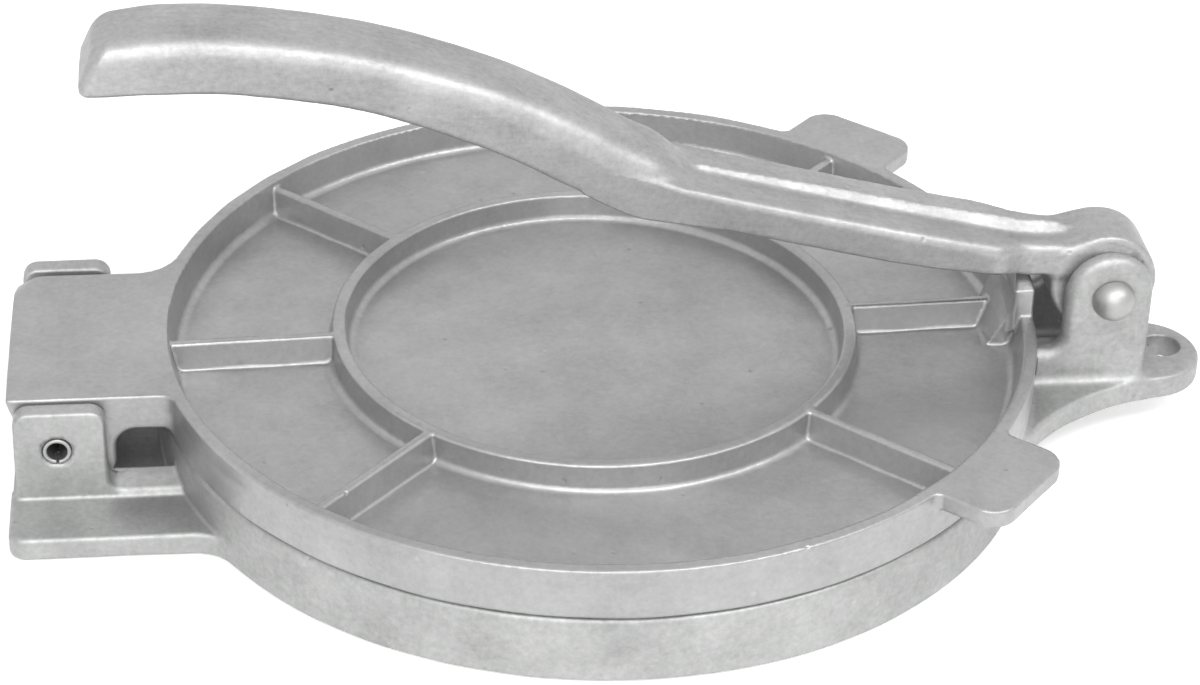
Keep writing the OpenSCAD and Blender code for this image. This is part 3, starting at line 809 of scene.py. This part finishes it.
def cast_metal(name, tone, rough, stain, streak):
    """Bare tumbled casting: cloudy stains, fine grain, drawn streaks, pits, and painted glints:
    sparse bright specks lightened into the base colour.
    """
    m, t, b = new_material(name)
    co = t.nodes.new("ShaderNodeTexCoord").outputs["Object"]
    cloud = noise(t, co, CLOUD)
    grain = noise(t, co, GRAIN)
    drawn = noise(t, co, DRAWN, streak)
    pit = specks(t, co, PITS)
    mix = math_node(t, "MULTIPLY", cloud, 0.44)
    # the glint specks are painted highlights: they lighten the base colour and, through the same
    # mix, lower the roughness
    for kind, part, weight in (("ADD", grain, 0.36), ("ADD", drawn, 0.20), ("SUBTRACT", pit, 0.10),
                               ("ADD", specks(t, co, GLINT_SPECKS), 0.12)):
        mix = math_node(t, kind, mix, math_node(t, "MULTIPLY", part, weight))
    dark = tuple(c * (1 - stain) for c in tone)
    light = tuple(min(c * (1 + stain), 1) for c in tone)
    t.links.new(ramp(t, mix, [(0.33, dark), (0.67, light)]), b.inputs["Base Color"])
    t.links.new(ramp(t, mix, [(0.3, rough + 0.08), (0.7, rough - 0.07)]), b.inputs["Roughness"])
    b.inputs["Metallic"].default_value = METALLIC
    height = math_node(t, "ADD", noise(t, co, LUMPS), math_node(t, "MULTIPLY", drawn, 0.5))
    height = math_node(t, "SUBTRACT", height, math_node(t, "MULTIPLY", pit, 1.2))
    bump = node(t, "ShaderNodeBump", Strength=0.5, Distance=0.00022)
    t.links.new(height, bump.inputs["Height"])
    fine = node(t, "ShaderNodeBump", Strength=0.35, Distance=0.00006)
    t.links.new(grain, fine.inputs["Height"])
    t.links.new(bump.outputs["Normal"], fine.inputs["Normal"])
    t.links.new(fine.outputs["Normal"], b.inputs["Normal"])
    return m


def steel(name, tone, rough):
    m, t, b = new_material(name)
    co = t.nodes.new("ShaderNodeTexCoord").outputs["Object"]
    n = node(t, "ShaderNodeTexNoise", Scale=900.0, Detail=3.0)
    t.links.new(co, n.inputs["Vector"])
    wear = ramp(t, n.outputs["Fac"], [(0.3, rough - 0.05), (0.7, rough + 0.06)])
    t.links.new(wear, b.inputs["Roughness"])
    b.inputs["Base Color"].default_value = (*tone, 1)
    b.inputs["Metallic"].default_value = 1.0
    return m


base_metal = cast_metal("cast_aluminium_base", (0.42, 0.425, 0.42), 0.50, 0.24, (1.0, 1.0, 1.6))
plate_metal = cast_metal("cast_aluminium_plate", (0.40, 0.403, 0.40), 0.38, 0.17, (1.0, 1.0, 1.6))
lever_metal = cast_metal("cast_aluminium_lever", (0.41, 0.413, 0.41), 0.44, 0.26, (0.4, 2.0, 2.0))
pin_steel = steel("spring_steel", (0.46, 0.46, 0.46), 0.48)
rivet_metal = steel("rivet_metal", (0.44, 0.44, 0.435), 0.46)

for obj, mat, body, slot, replaced in (
    (base, base_metal, "base", "base_cast", "base_casting"),
    (plate, plate_metal, "plate", "plate_cast", "top_plate"),
    (lever, lever_metal, "lever", "lever_cast", "lever"),
    (pin_near, pin_steel, "base", "spring_steel", "hinge_pin_near"),
    (pin_far, pin_steel, "base", "spring_steel", "hinge_pin_far"),
    (rivet, rivet_metal, "base", "rivet_metal", "lever_rivet"),
):
    obj.data.materials.clear()
    obj.data.materials.append(mat)
    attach(obj, body)
    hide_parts(replaced)


# Floor and world: white to the camera and in reflections, plain to everything else.
def background_ray(t):
    """1 for the rays that show the background itself: from the camera, or off a glossy surface."""
    path = t.nodes.new("ShaderNodeLightPath")
    return math_node(t, "MAXIMUM", path.outputs["Is Camera Ray"], path.outputs["Is Glossy Ray"])


FLOOR_HALF = 6
FLOOR_DROP = 0.0004
FLOOR_GLOW = 0.45
floor_mesh = bpy.data.meshes.new("floor")
sides = ((-1, -1), (1, -1), (1, 1), (-1, 1))
floor_mesh.from_pydata([(i * FLOOR_HALF, j * FLOOR_HALF, 0) for i, j in sides], [], [(0, 1, 2, 3)])
floor = bpy.data.objects.new("floor", floor_mesh)
floor.location = (0, 0, -FLOOR_DROP)
bpy.context.scene.collection.objects.link(floor)
m, t, b = new_material("floor_white")
b.inputs["Base Color"].default_value = (0.93, 0.93, 0.93, 1)
b.inputs["Roughness"].default_value = 0.9
b.inputs["Specular IOR Level"].default_value = 0.0
glow = t.nodes.new("ShaderNodeEmission")
add = t.nodes.new("ShaderNodeAddShader")
t.links.new(math_node(t, "MULTIPLY", background_ray(t), FLOOR_GLOW), glow.inputs["Strength"])
t.links.new(b.outputs[0], add.inputs[0])
t.links.new(glow.outputs[0], add.inputs[1])
t.links.new(add.outputs[0], t.nodes["Material Output"].inputs["Surface"])
floor_mesh.materials.append(m)

WORLD_LIGHT = 0.5
WORLD_SEEN = 1.0
world = bpy.data.worlds.new("studio")
bpy.context.scene.world = world
world.use_nodes = True
t = world.node_tree
sky = t.nodes["Background"]
sky.inputs["Color"].default_value = (1, 1, 1, 1)
strength = node(t, "ShaderNodeMix", data_type="FLOAT", A=WORLD_LIGHT, B=WORLD_SEEN)
t.links.new(background_ray(t), strength.inputs["Factor"])
t.links.new(strength.outputs["Result"], sky.inputs["Strength"])


def lamp(name, place, aim, size, power):
    """Soft rectangular lamp of a width and height in metres, turned to its aim."""
    light = bpy.data.lights.new(name, "AREA")
    light.shape = "RECTANGLE"
    light.size, light.size_y = size
    light.energy = power
    o = bpy.data.objects.new(name, light)
    o.location = place
    o.rotation_mode = "QUATERNION"
    o.rotation_quaternion = (Vector(aim) - Vector(place)).to_track_quat("-Z", "Y")
    bpy.context.scene.collection.objects.link(o)


lamp("soft_key", (0.2, -0.72, 1.12), (0.02, 0, 0), (2.2, 0.36), 13.5)
lamp("soft_front", (-0.2, -1.4, 0.72), (0, 0, 0.03), (1.6, 0.5), 6)

# Camera at the photograph's place, fitted in the photograph's pixels.
IMAGE_W, IMAGE_H = 1200, 685
FOCAL_PX = 3349.27
AXIS_PX = (449.51, 342.59)
CAMERA_YAW = math.radians(-3.80)
CAMERA_TILT = math.radians(32.26)
CAMERA_AWAY = 825.92
SENSOR = 36.0
level = math.cos(CAMERA_TILT)
back = Vector((math.sin(CAMERA_YAW) * level, -math.cos(CAMERA_YAW) * level, math.sin(CAMERA_TILT)))
target = Vector((-31.49, 35.06, 0.0))
cam_data = bpy.data.cameras.new("camera")
cam = bpy.data.objects.new("camera", cam_data)
cam.location = (target + back * CAMERA_AWAY) * MM
cam.rotation_mode = "QUATERNION"
cam.rotation_quaternion = (-back).to_track_quat("-Z", "Y")
cam_data.sensor_width = SENSOR
cam_data.lens = SENSOR * FOCAL_PX / IMAGE_W
cam_data.shift_x = (IMAGE_W / 2 - AXIS_PX[0]) / IMAGE_W
cam_data.shift_y = (AXIS_PX[1] - IMAGE_H / 2) / IMAGE_W
cam_data.clip_start, cam_data.clip_end = 0.05, 30
bpy.context.scene.collection.objects.link(cam)
bpy.context.scene.camera = cam
bpy.context.scene.view_settings.view_transform = "Standard"
